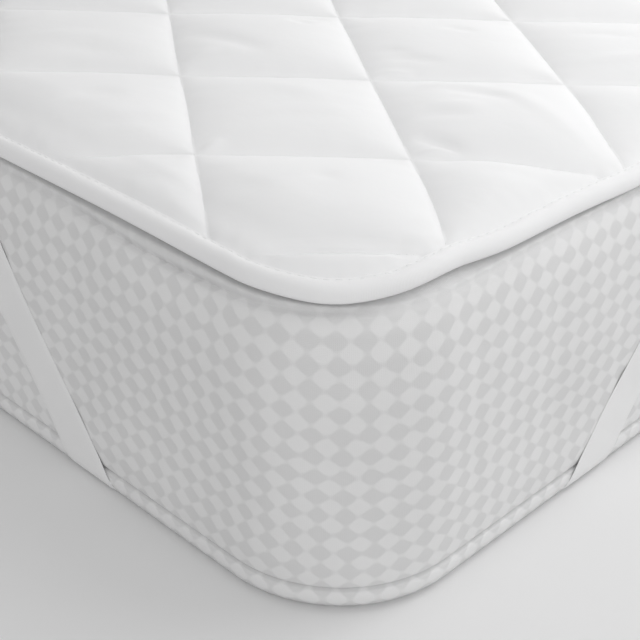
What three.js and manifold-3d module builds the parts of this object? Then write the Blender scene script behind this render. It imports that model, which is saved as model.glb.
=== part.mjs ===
// A quilted mattress protector with four elastic corner straps, laid on the mattress that it fits.
// Millimetres, +Z up. The origin is under the middle of the mattress, on the surface that it rests on.
import * as THREE from 'three';
import { mergeVertices } from 'three/addons/utils/BufferGeometryUtils.js';
import Module from 'manifold-3d';

const wasm = await Module();
wasm.setup();

// Driving dimensions of the mattress
const MATTRESS_WIDTH = 1200;
const MATTRESS_LENGTH = 1900;
const CORNER_RADIUS = 90;
const ARC_STEPS = 8;

// How far the protector's parts lie inside the mattress's widest outline
const EDGE_INSET = 18;
const PAD_EDGE_INSET = 20.5;
const PAD_BAND_INSET = 34;

// Upright section of the mattress: how far each row lies inside the widest outline, and its height
const MATTRESS_ROWS = [
  { name: 'base', inset: 9, z: 0 },
  { name: 'base_edge', inset: 2.5, z: 2.5 },
  { name: 'foot', inset: 0.5, z: 9 },
  { name: 'lower_seam', inset: 1.5, z: 19 },
  { name: 'belly_low', inset: 0, z: 34 },
  { name: 'belly_high', inset: 0, z: 110 },
  { name: 'side_high', inset: 2, z: 145 },
  { name: 'neck', inset: 6, z: 168 },
  { name: 'neck_high', inset: 11, z: 183 },
  { name: 'shoulder', inset: EDGE_INSET, z: 194 },
  { name: 'band', inset: PAD_BAND_INSET, z: 203.5 },
  { name: 'crown', inset: 56, z: 208.4 },
  { name: 'top', inset: 84, z: 210 },
];

// Driving dimensions of the protector's pad
const EDGE_GAP = 3.4;
const REST_GAP = 0.4;
const EDGE_THICKNESS = 4;
const SEAM_THICKNESS = 5;
const PUFF_HEIGHT = 7;
const PUFF_RISE = 26;

// The quilting: rhombs in rows, turned a little on the mattress, with one crossing at a known place
const RHOMB_WIDTH = 210.5;
const RHOMB_LENGTH = 171.2;
const QUILT_TURN = THREE.MathUtils.degToRad(2.7);
const QUILT_CROSSING = { x: 265, y: -610 };
const QUILT_STEPS = [0, 0.17, 0.5, 0.83];

// The binding tape folded over the pad's edge
const TAPE_THICKNESS = 1.2;
const TAPE_GAP = 0.3;
const TAPE_TOP_WIDTH = 9.5;
const TAPE_UNDER_WIDTH = 9;

// The elastic straps: one to a corner, at 45 degrees under it and steeper up the sides.
// A lean is how far a strap moves along the edge for each millimetre of its way up a side.
const STRAP_WIDTH = 34;
const STRAP_THICKNESS = 1;
const STRAP_GAP = 0.45;
const STRAP_CROSSING = 240;
const STRAP_END_LEAN = 0.7;
const STRAP_SIDE_LEAN = 0.88;
const STRAP_TUCK_INSET = 26;
const GROOVE_DEPTH = 2;
const GROOVE_CLEARANCE = 1;
const GROOVE_INNER_INSET = 12;

const HALF_WIDTH = MATTRESS_WIDTH / 2;
const HALF_LENGTH = MATTRESS_LENGTH / 2;

const rowNumber = (name) => MATTRESS_ROWS.findIndex((row) => row.name === name);
const SIDE_ROWS = MATTRESS_ROWS.slice(rowNumber('base_edge'), rowNumber('shoulder') + 1);
const COVERED_ROWS = MATTRESS_ROWS.slice(rowNumber('shoulder'));
const CROWN_INSET = MATTRESS_ROWS[rowNumber('crown')].inset;

// Materials
const quiltCloth = new THREE.MeshStandardMaterial({ color: 0xf6f6f7, roughness: 0.85, metalness: 0 });
const tapeCloth = new THREE.MeshStandardMaterial({ color: 0xf8f8f9, roughness: 0.8, metalness: 0 });
const elasticWeb = new THREE.MeshStandardMaterial({ color: 0xf1f1f2, roughness: 0.75, metalness: 0 });
const ticking = new THREE.MeshStandardMaterial({ color: 0xcfcfcf, roughness: 0.85, metalness: 0 });

// A closed mesh from points and triangles, with its faces turned outward
function closedGeometry(points, triangles) {
  let volume = 0;
  for (const [a, b, c] of triangles) {
    volume += points[a].dot(new THREE.Vector3().crossVectors(points[b], points[c]));
  }
  const outward = volume > 0 ? triangles : triangles.map(([a, b, c]) => [a, c, b]);
  const geometry = new THREE.BufferGeometry().setFromPoints(points);
  geometry.setIndex(outward.flat());
  return geometry;
}

function asManifold(geometry) {
  return new wasm.Manifold(new wasm.Mesh({
    numProp: 3,
    vertProperties: new Float32Array(geometry.getAttribute('position').array),
    triVerts: new Uint32Array(geometry.getIndex().array),
  }));
}

function asGeometry(solid) {
  const mesh = solid.getMesh();
  const geometry = new THREE.BufferGeometry();
  geometry.setAttribute('position', new THREE.BufferAttribute(new Float32Array(mesh.vertProperties), 3));
  geometry.setIndex([...mesh.triVerts]);
  return geometry;
}

// A rounded rectangle in plan, counter-clockwise. Inside the pad's edge the loops are parallel to each other.
function planLoop(inset) {
  const radius = CORNER_RADIUS - Math.max(0, inset - EDGE_INSET);
  const centreX = HALF_WIDTH - inset - radius;
  const centreY = HALF_LENGTH - inset - radius;
  const loop = [];
  const corners = [[1, 1], [-1, 1], [-1, -1], [1, -1]];
  corners.forEach(([signX, signY], quarter) => {
    for (let step = 0; step <= ARC_STEPS; step += 1) {
      const angle = (quarter + step / ARC_STEPS) * Math.PI / 2;
      loop.push(new THREE.Vector2(
        signX * centreX + radius * Math.cos(angle),
        signY * centreY + radius * Math.sin(angle),
      ));
    }
  });
  return loop;
}

// How far a point in plan lies inside the mattress's widest outline, over the part that the pad covers
function insetAt(x, y) {
  const radius = CORNER_RADIUS;
  const overX = Math.abs(x) - (HALF_WIDTH - EDGE_INSET - radius);
  const overY = Math.abs(y) - (HALF_LENGTH - EDGE_INSET - radius);
  const outside = Math.hypot(Math.max(overX, 0), Math.max(overY, 0));
  const inside = Math.min(Math.max(overX, overY), 0);
  return EDGE_INSET + radius - outside - inside;
}

// Height of the mattress under the pad
function mattressHeight(inset) {
  const upper = COVERED_ROWS.findIndex((row) => row.inset > inset);
  if (upper < 0) return COVERED_ROWS[COVERED_ROWS.length - 1].z;
  const low = COVERED_ROWS[upper - 1];
  const high = COVERED_ROWS[upper];
  return THREE.MathUtils.mapLinear(inset, low.inset, high.inset, low.z, high.z);
}

// Triangles between two loops of the same number of points
function bridge(triangles, firstStart, secondStart, count) {
  for (let i = 0; i < count; i += 1) {
    const next = (i + 1) % count;
    triangles.push([firstStart + i, firstStart + next, secondStart + next]);
    triangles.push([firstStart + i, secondStart + next, secondStart + i]);
  }
}

// Triangles that close a plane loop
function cap(triangles, loop, start, facingUp) {
  for (const [a, b, c] of THREE.ShapeUtils.triangulateShape(loop, [])) {
    triangles.push(facingUp ? [start + a, start + b, start + c] : [start + a, start + c, start + b]);
  }
}

// The mattress's outside, row by row
function mattressShell() {
  const points = [];
  const triangles = [];
  const count = planLoop(0).length;
  MATTRESS_ROWS.forEach((row, index) => {
    points.push(...planLoop(row.inset).map((p) => new THREE.Vector3(p.x, p.y, row.z)));
    if (index > 0) bridge(triangles, (index - 1) * count, index * count, count);
  });
  cap(triangles, planLoop(MATTRESS_ROWS[0].inset), 0, false);
  const topRow = MATTRESS_ROWS.length - 1;
  cap(triangles, planLoop(MATTRESS_ROWS[topRow].inset), topRow * count, true);
  return closedGeometry(points, triangles);
}

const CORNERS = [
  { name: 'front_right', signX: 1, signY: -1 },
  { name: 'front_left', signX: -1, signY: -1 },
  { name: 'back_right', signX: 1, signY: 1 },
  { name: 'back_left', signX: -1, signY: 1 },
];

// A shallow groove under one corner, where the strap is pressed into the mattress
function strapGroove({ signX, signY }) {
  const width = STRAP_WIDTH + 2 * GROOVE_CLEARANCE;
  const length = STRAP_CROSSING * Math.SQRT2 + 2 * width;
  const box = new THREE.BoxGeometry(length, width, 2 * GROOVE_DEPTH);
  box.deleteAttribute('normal');
  box.deleteAttribute('uv');
  box.rotateZ(-signX * signY * Math.PI / 4);
  box.translate(signX * (HALF_WIDTH - STRAP_CROSSING / 2), signY * (HALF_LENGTH - STRAP_CROSSING / 2), 0);
  return asManifold(mergeVertices(box));
}

function mattressBody() {
  let body = asManifold(mattressShell());
  for (const corner of CORNERS) body = body.subtract(strapGroove(corner));
  return new THREE.Mesh(asGeometry(body), ticking);
}

// Quilting coordinates of a point: whole numbers fall on the sewn lines
const diagonalX = new THREE.Vector2(RHOMB_WIDTH, 0).rotateAround(new THREE.Vector2(), QUILT_TURN);
const diagonalY = new THREE.Vector2(0, RHOMB_LENGTH).rotateAround(new THREE.Vector2(), QUILT_TURN);
const quiltU = diagonalX.clone().add(diagonalY).multiplyScalar(0.5);
const quiltV = diagonalX.clone().sub(diagonalY).multiplyScalar(0.5);

function quiltPoint(u, v) {
  return new THREE.Vector2(QUILT_CROSSING.x, QUILT_CROSSING.y)
    .addScaledVector(quiltU, u)
    .addScaledVector(quiltV, v);
}

function quiltCoordinates(x, y) {
  const dx = x - QUILT_CROSSING.x;
  const dy = y - QUILT_CROSSING.y;
  const area = quiltU.cross(quiltV);
  return { u: (dx * quiltV.y - dy * quiltV.x) / area, v: (quiltU.x * dy - quiltU.y * dx) / area };
}

// How full the wadding is between the sewn lines, from 0 on a line to 1 in the middle of a rhomb
function fullness(x, y) {
  const { u, v } = quiltCoordinates(x, y);
  const across = (value) => Math.max(0, 1 - (2 * (value - Math.floor(value)) - 1) ** 2);
  return Math.sqrt(across(u) * across(v));
}

function padUnderside(inset) {
  const slack = 1 - THREE.MathUtils.smoothstep(inset, PAD_BAND_INSET, CROWN_INSET);
  return mattressHeight(inset) + REST_GAP + (EDGE_GAP - REST_GAP) * slack;
}

function padTop(x, y) {
  const inset = insetAt(x, y);
  const rise = THREE.MathUtils.smoothstep(inset, PAD_BAND_INSET, PAD_BAND_INSET + PUFF_RISE);
  const flat = THREE.MathUtils.lerp(EDGE_THICKNESS, SEAM_THICKNESS, rise);
  return padUnderside(inset) + flat + PUFF_HEIGHT * rise * fullness(x, y);
}

// The part of a convex outline that lies inside a convex counter-clockwise loop
function clipToLoop(outline, loop) {
  let kept = outline;
  for (let i = 0; i < loop.length && kept.length > 0; i += 1) {
    const start = loop[i];
    const along = loop[(i + 1) % loop.length].clone().sub(start);
    const side = (p) => along.cross(p.clone().sub(start));
    const next = [];
    kept.forEach((p, k) => {
      const q = kept[(k + 1) % kept.length];
      const sideP = side(p);
      const sideQ = side(q);
      if (sideP >= 0) next.push(p);
      if (sideP * sideQ < 0) next.push(p.clone().lerp(q, sideP / (sideP - sideQ)));
    });
    kept = next;
  }
  return kept;
}

// The quilted top in plan: every rhomb in small quarters, cut off at the band that the tape covers
function quiltedPlan(loop) {
  const points = [];
  const places = new Map();
  const triangles = [];
  const place = (p) => {
    const key = `${p.x.toFixed(3)} ${p.y.toFixed(3)}`;
    if (!places.has(key)) {
      places.set(key, points.length);
      points.push(p);
    }
    return places.get(key);
  };
  const reach = Math.ceil((HALF_WIDTH + MATTRESS_LENGTH) / Math.min(RHOMB_WIDTH, RHOMB_LENGTH)) * 2;
  const lines = [];
  for (let cell = -reach; cell < reach; cell += 1) lines.push(...QUILT_STEPS.map((step) => cell + step));
  for (let i = 0; i + 1 < lines.length; i += 1) {
    for (let j = 0; j + 1 < lines.length; j += 1) {
      const corner = quiltPoint(lines[i], lines[j]);
      if (Math.abs(corner.x) > MATTRESS_WIDTH || Math.abs(corner.y) > MATTRESS_LENGTH) continue;
      const quad = [
        corner,
        quiltPoint(lines[i], lines[j + 1]),
        quiltPoint(lines[i + 1], lines[j + 1]),
        quiltPoint(lines[i + 1], lines[j]),
      ];
      const ring = clipToLoop(quad, loop).map(place).filter((id, k, all) => id !== all[(k + 1) % all.length]);
      for (let k = 1; k + 1 < ring.length; k += 1) triangles.push([ring[0], ring[k], ring[k + 1]]);
    }
  }
  return { points, triangles };
}

// The outer edge of a patch of triangles, as one ring of point numbers
function boundaryRing(triangles) {
  const following = new Map();
  const used = new Set();
  for (const [a, b, c] of triangles) {
    for (const [from, to] of [[a, b], [b, c], [c, a]]) used.add(`${from} ${to}`);
  }
  for (const edge of used) {
    const [from, to] = edge.split(' ').map(Number);
    if (!used.has(`${to} ${from}`)) following.set(from, to);
  }
  const ring = [following.keys().next().value];
  while (following.get(ring[ring.length - 1]) !== ring[0]) ring.push(following.get(ring[ring.length - 1]));
  return ring;
}

// Where a point of one loop goes on another loop that is parallel to it
function carriedOver(point, fromLoop, toLoop) {
  let best = { distance: Infinity };
  fromLoop.forEach((start, i) => {
    const end = fromLoop[(i + 1) % fromLoop.length];
    const along = end.clone().sub(start);
    const share = THREE.MathUtils.clamp(point.clone().sub(start).dot(along) / along.lengthSq(), 0, 1);
    const distance = start.clone().addScaledVector(along, share).distanceTo(point);
    if (distance < best.distance) best = { distance, i, share };
  });
  return toLoop[best.i].clone().lerp(toLoop[(best.i + 1) % toLoop.length], best.share);
}

// The pad: a filled solid with puffed rhombs, a thin band under the tape, and an underside on the mattress
function quiltedPad() {
  const bandLoop = planLoop(PAD_BAND_INSET);
  const plan = quiltedPlan(bandLoop);
  const points = plan.points.map((p) => new THREE.Vector3(p.x, p.y, padTop(p.x, p.y)));
  const triangles = [...plan.triangles];
  const ring = boundaryRing(plan.triangles);
  const ringPlan = ring.map((id) => plan.points[id]);
  const addRing = (inset, height) => {
    const start = points.length;
    const loop = planLoop(inset);
    points.push(...ringPlan.map((p) => {
      const moved = carriedOver(p, bandLoop, loop);
      return new THREE.Vector3(moved.x, moved.y, height);
    }));
    return start;
  };
  const join = (upper, lower) => {
    ring.forEach((_, i) => {
      const next = (i + 1) % ring.length;
      triangles.push([upper(i), lower(i), lower(next)], [upper(i), lower(next), upper(next)]);
    });
  };
  const fromStart = (start) => (i) => start + i;
  const edgeTop = addRing(PAD_EDGE_INSET, padUnderside(PAD_EDGE_INSET) + EDGE_THICKNESS);
  join((i) => ring[i], fromStart(edgeTop));
  let previous = edgeTop;
  const underInsets = [PAD_EDGE_INSET, ...COVERED_ROWS.slice(1).map((row) => row.inset)];
  for (const inset of underInsets) {
    const start = addRing(inset, padUnderside(inset));
    join(fromStart(previous), fromStart(start));
    previous = start;
  }
  const lastLoop = points.slice(previous).map((p) => new THREE.Vector2(p.x, p.y));
  cap(triangles, lastLoop, previous, false);
  return new THREE.Mesh(closedGeometry(points, triangles), quiltCloth);
}

// The tape's folded section: distance in from the pad's edge, and height, going round once
function tapeSection() {
  const outer = TAPE_GAP + TAPE_THICKNESS;
  const under = (distance) => padUnderside(PAD_EDGE_INSET + distance);
  const over = (distance) => under(distance) + EDGE_THICKNESS;
  const middle = (under(0) + over(0)) / 2;
  const nose = 0.6;
  return [
    { inward: TAPE_TOP_WIDTH, z: over(TAPE_TOP_WIDTH) + outer },
    { inward: 0, z: over(0) + outer },
    { inward: -outer * nose, z: over(0) + TAPE_GAP },
    { inward: -outer, z: middle },
    { inward: -outer * nose, z: under(0) - TAPE_GAP },
    { inward: 0, z: under(0) - outer },
    { inward: TAPE_UNDER_WIDTH, z: under(TAPE_UNDER_WIDTH) - outer },
    { inward: TAPE_UNDER_WIDTH, z: under(TAPE_UNDER_WIDTH) - TAPE_GAP },
    { inward: -TAPE_GAP, z: under(0) - TAPE_GAP * nose },
    { inward: -TAPE_GAP, z: over(0) + TAPE_GAP * nose },
    { inward: TAPE_TOP_WIDTH, z: over(TAPE_TOP_WIDTH) + TAPE_GAP },
  ];
}

function edgeBinding() {
  const section = tapeSection();
  const points = [];
  const triangles = [];
  const count = planLoop(0).length;
  section.forEach(({ inward, z }, index) => {
    const loop = planLoop(PAD_EDGE_INSET + inward);
    points.push(...loop.map((p) => new THREE.Vector3(p.x, p.y, z)));
    bridge(triangles, index * count, ((index + 1) % section.length) * count, count);
  });
  return new THREE.Mesh(closedGeometry(points, triangles), tapeCloth);
}

// The strap's route down one side, as rows of the upright section, from its end under the tape to the groove
function strapRoute() {
  const [base, baseEdge] = MATTRESS_ROWS;
  const lipInset = THREE.MathUtils.mapLinear(GROOVE_DEPTH, baseEdge.z, base.z, baseEdge.inset, base.inset);
  return [
    { inset: STRAP_TUCK_INSET, z: mattressHeight(STRAP_TUCK_INSET) },
    ...SIDE_ROWS.toReversed(),
    { inset: lipInset, z: GROOVE_DEPTH },
    { inset: GROOVE_INNER_INSET, z: GROOVE_DEPTH },
  ].map((row) => new THREE.Vector2(row.inset, row.z));
}

// The same route, a set distance off the mattress
function offsetRoute(route, distance) {
  const normals = route.slice(1).map((p, i) => {
    const along = p.clone().sub(route[i]).normalize();
    return new THREE.Vector2(along.y, -along.x);
  });
  return route.map((p, i) => {
    const before = normals[Math.max(i - 1, 0)];
    const after = normals[Math.min(i, normals.length - 1)];
    const bisector = before.clone().add(after).normalize();
    return p.clone().addScaledVector(bisector, distance / bisector.dot(before));
  });
}

// How far along the edge each row of the route has moved since the groove, where the strap runs at 45 degrees
function strapShifts(route, lean) {
  const shifts = [0];
  for (let i = route.length - 1; i > 0; i -= 1) {
    const share = i > SIDE_ROWS.length ? 1 : lean;
    shifts.unshift(shifts[0] + share * route[i].distanceTo(route[i - 1]));
  }
  return shifts;
}

// One strap: down the side, under the corner and up the next side
function cornerStrap({ signX, signY }) {
  const route = strapRoute();
  const endShifts = strapShifts(route, STRAP_END_LEAN);
  const sideShifts = strapShifts(route, STRAP_SIDE_LEAN);
  const nearOffset = STRAP_CROSSING - GROOVE_INNER_INSET - STRAP_WIDTH / Math.SQRT2;
  const farOffset = nearOffset + STRAP_WIDTH * Math.SQRT2;
  const inner = offsetRoute(route, STRAP_GAP);
  const outer = offsetRoute(route, STRAP_GAP + STRAP_THICKNESS);
  const fromCorner = (inX, inY, z) => {
    return new THREE.Vector3(signX * (HALF_WIDTH - inX), signY * (HALF_LENGTH - inY), z);
  };
  const endSide = (along, row) => fromCorner(along, row.x, row.y);
  const longSide = (along, row) => fromCorner(row.x, along, row.y);
  const rows = [];
  const addRow = (place, shift, i) => {
    const near = nearOffset + shift;
    const far = farOffset + shift;
    rows.push([place(near, inner[i]), place(far, inner[i]), place(far, outer[i]), place(near, outer[i])]);
  };
  for (let i = 0; i < route.length; i += 1) addRow(endSide, endShifts[i], i);
  for (let i = route.length - 1; i >= 0; i -= 1) addRow(longSide, sideShifts[i], i);
  const points = rows.flat();
  const triangles = [[0, 2, 1], [0, 3, 2]];
  for (let i = 0; i + 1 < rows.length; i += 1) bridge(triangles, i * 4, (i + 1) * 4, 4);
  const last = (rows.length - 1) * 4;
  triangles.push([last, last + 1, last + 2], [last, last + 2, last + 3]);
  return new THREE.Mesh(closedGeometry(points, triangles), elasticWeb);
}

const protector = new THREE.Group();

function addPiece(mesh, name) {
  mesh.name = name;
  protector.add(mesh);
}

addPiece(mattressBody(), 'mattress');
addPiece(quiltedPad(), 'quilted_pad');
addPiece(edgeBinding(), 'edge_binding');
for (const corner of CORNERS) addPiece(cornerStrap(corner), `corner_strap_${corner.name}`);

export default protector;
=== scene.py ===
import math

import bmesh
import bpy
import numpy as np
from mathutils import Matrix, Vector


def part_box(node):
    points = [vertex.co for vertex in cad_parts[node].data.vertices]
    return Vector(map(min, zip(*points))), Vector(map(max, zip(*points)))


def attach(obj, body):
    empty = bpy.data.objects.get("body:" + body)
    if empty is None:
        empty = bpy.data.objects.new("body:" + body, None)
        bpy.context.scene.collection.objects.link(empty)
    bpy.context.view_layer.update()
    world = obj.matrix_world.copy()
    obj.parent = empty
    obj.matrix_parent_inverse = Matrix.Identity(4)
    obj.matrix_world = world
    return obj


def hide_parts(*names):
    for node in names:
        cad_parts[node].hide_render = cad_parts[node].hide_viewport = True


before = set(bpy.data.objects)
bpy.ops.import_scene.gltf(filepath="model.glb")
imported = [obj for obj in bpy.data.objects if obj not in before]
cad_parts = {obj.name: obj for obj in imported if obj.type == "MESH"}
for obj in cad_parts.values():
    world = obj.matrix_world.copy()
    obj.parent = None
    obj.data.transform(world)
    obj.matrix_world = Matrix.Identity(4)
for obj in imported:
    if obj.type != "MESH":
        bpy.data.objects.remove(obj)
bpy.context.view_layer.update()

MM = 0.001
TAU = 2 * math.pi

# Signs of x and y at each corner, counter-clockwise, and the straps that hold them
CORNERS = {"back_right": (1, 1), "back_left": (-1, 1), "front_left": (-1, -1), "front_right": (1, -1)}

# Plan of the mattress, from the frame, and how far the pad's parts lie inside it
HALF_WIDTH, HALF_LENGTH = (round(side / MM, 1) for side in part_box("mattress")[1][:2])
CORNER_RADIUS = 90.0
EDGE_INSET = 18.0
PAD_EDGE_INSET = 20.5
PAD_BAND_INSET = 34.0

# Upright section of the mattress from its underside to its top: distance inside the plan, and height
MATTRESS_SECTION = np.array([
    (9.0, 0.0), (0.6, 1.8), (-2.2, 7.5), (0.2, 15.5), (-0.6, 27.0), (0.0, 110.0), (2.0, 145.0),
    (6.0, 168.0), (11.0, 183.0), (18.0, 194.0), (34.0, 203.5), (56.0, 208.4), (84.0, 210.0),
])
SEAM_ROW = 3
SHOULDER_ROW = 9
CROWN_INSET = 56.0
TOP_INSET = 84.0
LOWER_SEAM_HEIGHT = MATTRESS_SECTION[SEAM_ROW, 1]

# Quilting: rhombs in rows, turned a little on the mattress, with one crossing at a known place
RHOMB_WIDTH = 210.5
RHOMB_LENGTH = 171.2
QUILT_TURN = math.radians(2.7)
QUILT_CROSSING = np.array([265.0, -610.0])
RHOMBS_U = np.arange(-7, 12)
RHOMBS_V = np.arange(-14, 5)
CORNER_LINE_START = 2.0
CORNER_LINE_SHARE = 0.9

# The pad's gap to the mattress, and its thickness at the edge, on a sewn line and over the puffs
EDGE_GAP = 3.4
REST_GAP = 0.4
EDGE_THICKNESS = 4.0
SEAM_THICKNESS = 5.0
PUFF_HEIGHT = 8.2
PUFF_START_INSET = 25.5
PUFF_RISE = 42.0
PUFF_EDGE_POWER = 2.0
BAND_DIP = 0.9

# The elastic straps and the grooves that they lie in
STRAP_WIDTH = 34.0
STRAP_THICKNESS = 1.0
STRAP_GAP = 0.15
STRAP_CROSSING = 236.0
STRAP_END_LEAN = 0.785
STRAP_SIDE_LEAN = 0.88
STRAP_END_SHIFT = -5.5
STRAP_SIDE_SHIFT = -2.0
STRAP_TUCK_INSET = 26.0
GROOVE_DEPTH = 2.0
GROOVE_CLEARANCE = 1.0
GROOVE_INNER_INSET = 12.0


def smoothstep(value, low, high):
    share = np.clip((value - low) / (high - low), 0.0, 1.0)
    return share * share * (3.0 - 2.0 * share)


def soft_noise(x, y, seed, waves=9):
    """Smooth unevenness between about -1 and 1, with one bump about every unit of x and y."""
    rng = np.random.default_rng(seed)
    total = np.zeros(np.broadcast(x, y).shape)
    for _ in range(waves):
        angle = rng.uniform(0, TAU)
        pace = rng.uniform(0.6, 1.5) * TAU / 2
        total += np.sin((x * math.cos(angle) + y * math.sin(angle)) * pace + rng.uniform(0, TAU))
    return total / math.sqrt(2 * waves)


# Lines and meshes

def travelled(points):
    """Distance along a line of points, from its start to each of them."""
    steps = np.linalg.norm(np.diff(points, axis=0), axis=1)
    return np.concatenate([[0.0], np.cumsum(steps)])


def resampled(points, places):
    """A line of points read at set distances along it."""
    distance = travelled(points)
    return np.column_stack([np.interp(places, distance, column) for column in points.T])


def evenly(points, count):
    return resampled(points, np.linspace(0.0, travelled(points)[-1], count))


def eased(points, passes):
    """A line of points with its bends rounded and its ends kept."""
    line = points.copy()
    for _ in range(passes):
        line[1:-1] = (line[:-2] + 2 * line[1:-1] + line[2:]) / 4
    return line


def line_normals(points):
    """Unit normals of a line in a plane, on its right-hand side."""
    along = np.gradient(points, axis=0)
    along /= np.linalg.norm(along, axis=1)[:, None]
    return np.column_stack([along[:, 1], -along[:, 0]])


def grid_quads(rows, columns, close_rows=False, close_columns=False):
    """Point numbers of the quads of a grid. A closed direction joins its last line to its first."""
    row = np.arange(rows if close_rows else rows - 1)[:, None]
    column = np.arange(columns if close_columns else columns - 1)[None, :]
    next_row = (row + 1) % rows
    next_column = (column + 1) % columns
    corners = [
        row * columns + column,
        row * columns + next_column,
        next_row * columns + next_column,
        next_row * columns + column,
    ]
    return np.stack(np.broadcast_arrays(*corners), axis=-1).reshape(-1, 4)


def new_piece(name, points, faces, material, sharp_degrees=60):
    """A smooth-shaded piece on the body, from points in millimetres, with its faces turned outward."""
    mesh = bpy.data.meshes.new(name)
    mesh.from_pydata((np.asarray(points) * MM).tolist(), [], faces)
    mesh.materials.append(material)
    work = bmesh.new()
    work.from_mesh(mesh)
    bmesh.ops.recalc_face_normals(work, faces=work.faces)
    work.to_mesh(mesh)
    work.free()
    mesh.shade_smooth()
    mesh.set_sharp_from_angle(angle=math.radians(sharp_degrees))
    piece = bpy.data.objects.new(name, mesh)
    bpy.context.scene.collection.objects.link(piece)
    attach(piece, "root")
    return piece


def add_map(piece, name, places, period=math.inf):
    """A cloth map in metres from each point's place on the cloth. Large faces take their place in plan."""
    mesh = piece.data
    spots = np.empty(len(mesh.loops), dtype=np.int32)
    sizes = np.empty(len(mesh.polygons), dtype=np.int32)
    mesh.loops.foreach_get("vertex_index", spots)
    mesh.polygons.foreach_get("loop_total", sizes)
    face = np.repeat(np.arange(len(sizes)), sizes)
    corners = places[spots]
    furthest = np.full(len(sizes), -math.inf)
    np.maximum.at(furthest, face, corners[:, 0])
    wrapped = furthest[face] - corners[:, 0] > period / 2
    corners[wrapped, 0] += period
    plan = np.empty(3 * len(mesh.vertices))
    mesh.vertices.foreach_get("co", plan)
    large = sizes[face] > 4
    corners[large] = plan.reshape(-1, 3)[spots[large], :2] / MM
    layer = mesh.uv_layers.new(name=name)
    layer.data.foreach_set("uv", (corners * MM).ravel())


STITCH_SIDES = 5
STITCH_PROFILE = [(0.0, -0.4, 0.0), (0.18, -0.02, 1.0), (0.82, -0.02, 1.0), (1.0, -0.4, 0.0)]


def stitches(starts, ends, radius):
    """Points and faces of many short threads, each from its start to its end on a cloth's top."""
    along = (ends - starts) / np.linalg.norm(ends - starts, axis=1)[:, None]
    aside = np.cross(along, (0.0, 0.0, 1.0))
    aside /= np.linalg.norm(aside, axis=1)[:, None]
    above = np.cross(aside, along)
    rings = []
    for share, lift, width in STITCH_PROFILE:
        middle = starts + (ends - starts) * share + above * lift
        count = STITCH_SIDES if width else 1
        for side in range(count):
            turn = side / count * TAU
            rings.append(middle + width * radius * (math.cos(turn) * aside + math.sin(turn) * above))
    points = np.stack(rings, axis=1)
    last = points.shape[1] - 1
    faces = []
    for side in range(STITCH_SIDES):
        here = 1 + side
        there = 1 + (side + 1) % STITCH_SIDES
        faces.append([0, there, here])
        faces.append([here, there, there + STITCH_SIDES, here + STITCH_SIDES])
        faces.append([here + STITCH_SIDES, there + STITCH_SIDES, last])
    first = np.arange(len(points)) * points.shape[1]
    joined = [[number + spot for spot in face] for number in first.tolist() for face in faces]
    return points.reshape(-1, 3), joined


# Plan: stations round the outline, shared by the mattress and the tape

class Outline:
    """Stations counter-clockwise round the plan, each about a step apart."""

    def __init__(self, step):
        signs = list(CORNERS.values())
        places = []
        normals = []
        arc_steps = round(CORNER_RADIUS * TAU / 4 / step)
        for quarter, here in enumerate(signs):
            there = signs[(quarter + 1) % 4]
            side = 2 * ((HALF_WIDTH, HALF_LENGTH)[quarter % 2] - CORNER_RADIUS)
            side_steps = round(side / step)
            shares = np.concatenate([np.zeros(arc_steps), np.arange(side_steps) / side_steps])
            turns = np.concatenate([np.arange(arc_steps) / arc_steps, np.ones(side_steps)])
            angles = (quarter + turns) * TAU / 4
            places.append(np.outer(1 - shares, here) + np.outer(shares, there))
            normals.append(np.column_stack([np.cos(angles), np.sin(angles)]))
        self.places = np.vstack(places)
        self.normals = np.vstack(normals)
        self.count = len(self.places)
        loop = self.at(0.0)
        distance = travelled(np.vstack([loop, loop[:1]]))
        self.along = distance[:-1]
        self.length = distance[-1]

    def at(self, inset):
        """Every station's place in plan, a set distance inside the widest outline."""
        inset = np.asarray(inset, dtype=float).reshape(-1, 1)
        radius = CORNER_RADIUS - np.maximum(inset - EDGE_INSET, 0.0)
        centre = np.array([HALF_WIDTH, HALF_LENGTH]) - inset - radius
        return self.places * centre + self.normals * radius


def over_corner(x, y):
    """How far a place in plan lies past the centres of the corners' arcs, along x and y."""
    over_x = np.abs(x) - (HALF_WIDTH - EDGE_INSET - CORNER_RADIUS)
    over_y = np.abs(y) - (HALF_LENGTH - EDGE_INSET - CORNER_RADIUS)
    return over_x, over_y


def inset_at(x, y):
    """How far a place in plan lies inside the widest outline, over the part that the pad covers."""
    over_x, over_y = over_corner(x, y)
    outside = np.hypot(np.maximum(over_x, 0), np.maximum(over_y, 0))
    inside = np.minimum(np.maximum(over_x, over_y), 0)
    return EDGE_INSET + CORNER_RADIUS - outside - inside


def outward_at(x, y):
    """Unit vectors in plan from places near the edge straight out to it."""
    over_x, over_y = over_corner(x, y)
    away = np.stack([np.maximum(over_x, 0) * np.sign(x), np.maximum(over_y, 0) * np.sign(y)], axis=1)
    return away / np.linalg.norm(away, axis=1)[:, None]


def mattress_height(inset):
    covered = MATTRESS_SECTION[SHOULDER_ROW:]
    return np.interp(inset, covered[:, 0], covered[:, 1])


def pad_underside(inset):
    slack = 1 - smoothstep(inset, PAD_BAND_INSET, CROWN_INSET)
    return mattress_height(inset) + REST_GAP + (EDGE_GAP - REST_GAP) * slack


# Where the pad's edge is drawn in or out by the near corner: place in plan, reach, and distance inward
EDGE_PULLS = [(574.0, -845.0, 32.0, 4.4), (552.0, -914.0, 26.0, -2.2), (586.0, -664.0, 48.0, -2.6)]
EDGE_SWAY = 0.7
EDGE_SWAY_LENGTH = 130.0
EDGE_SLOPE = 0.6
PULL_FADE = (36.0, 92.0)


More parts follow.
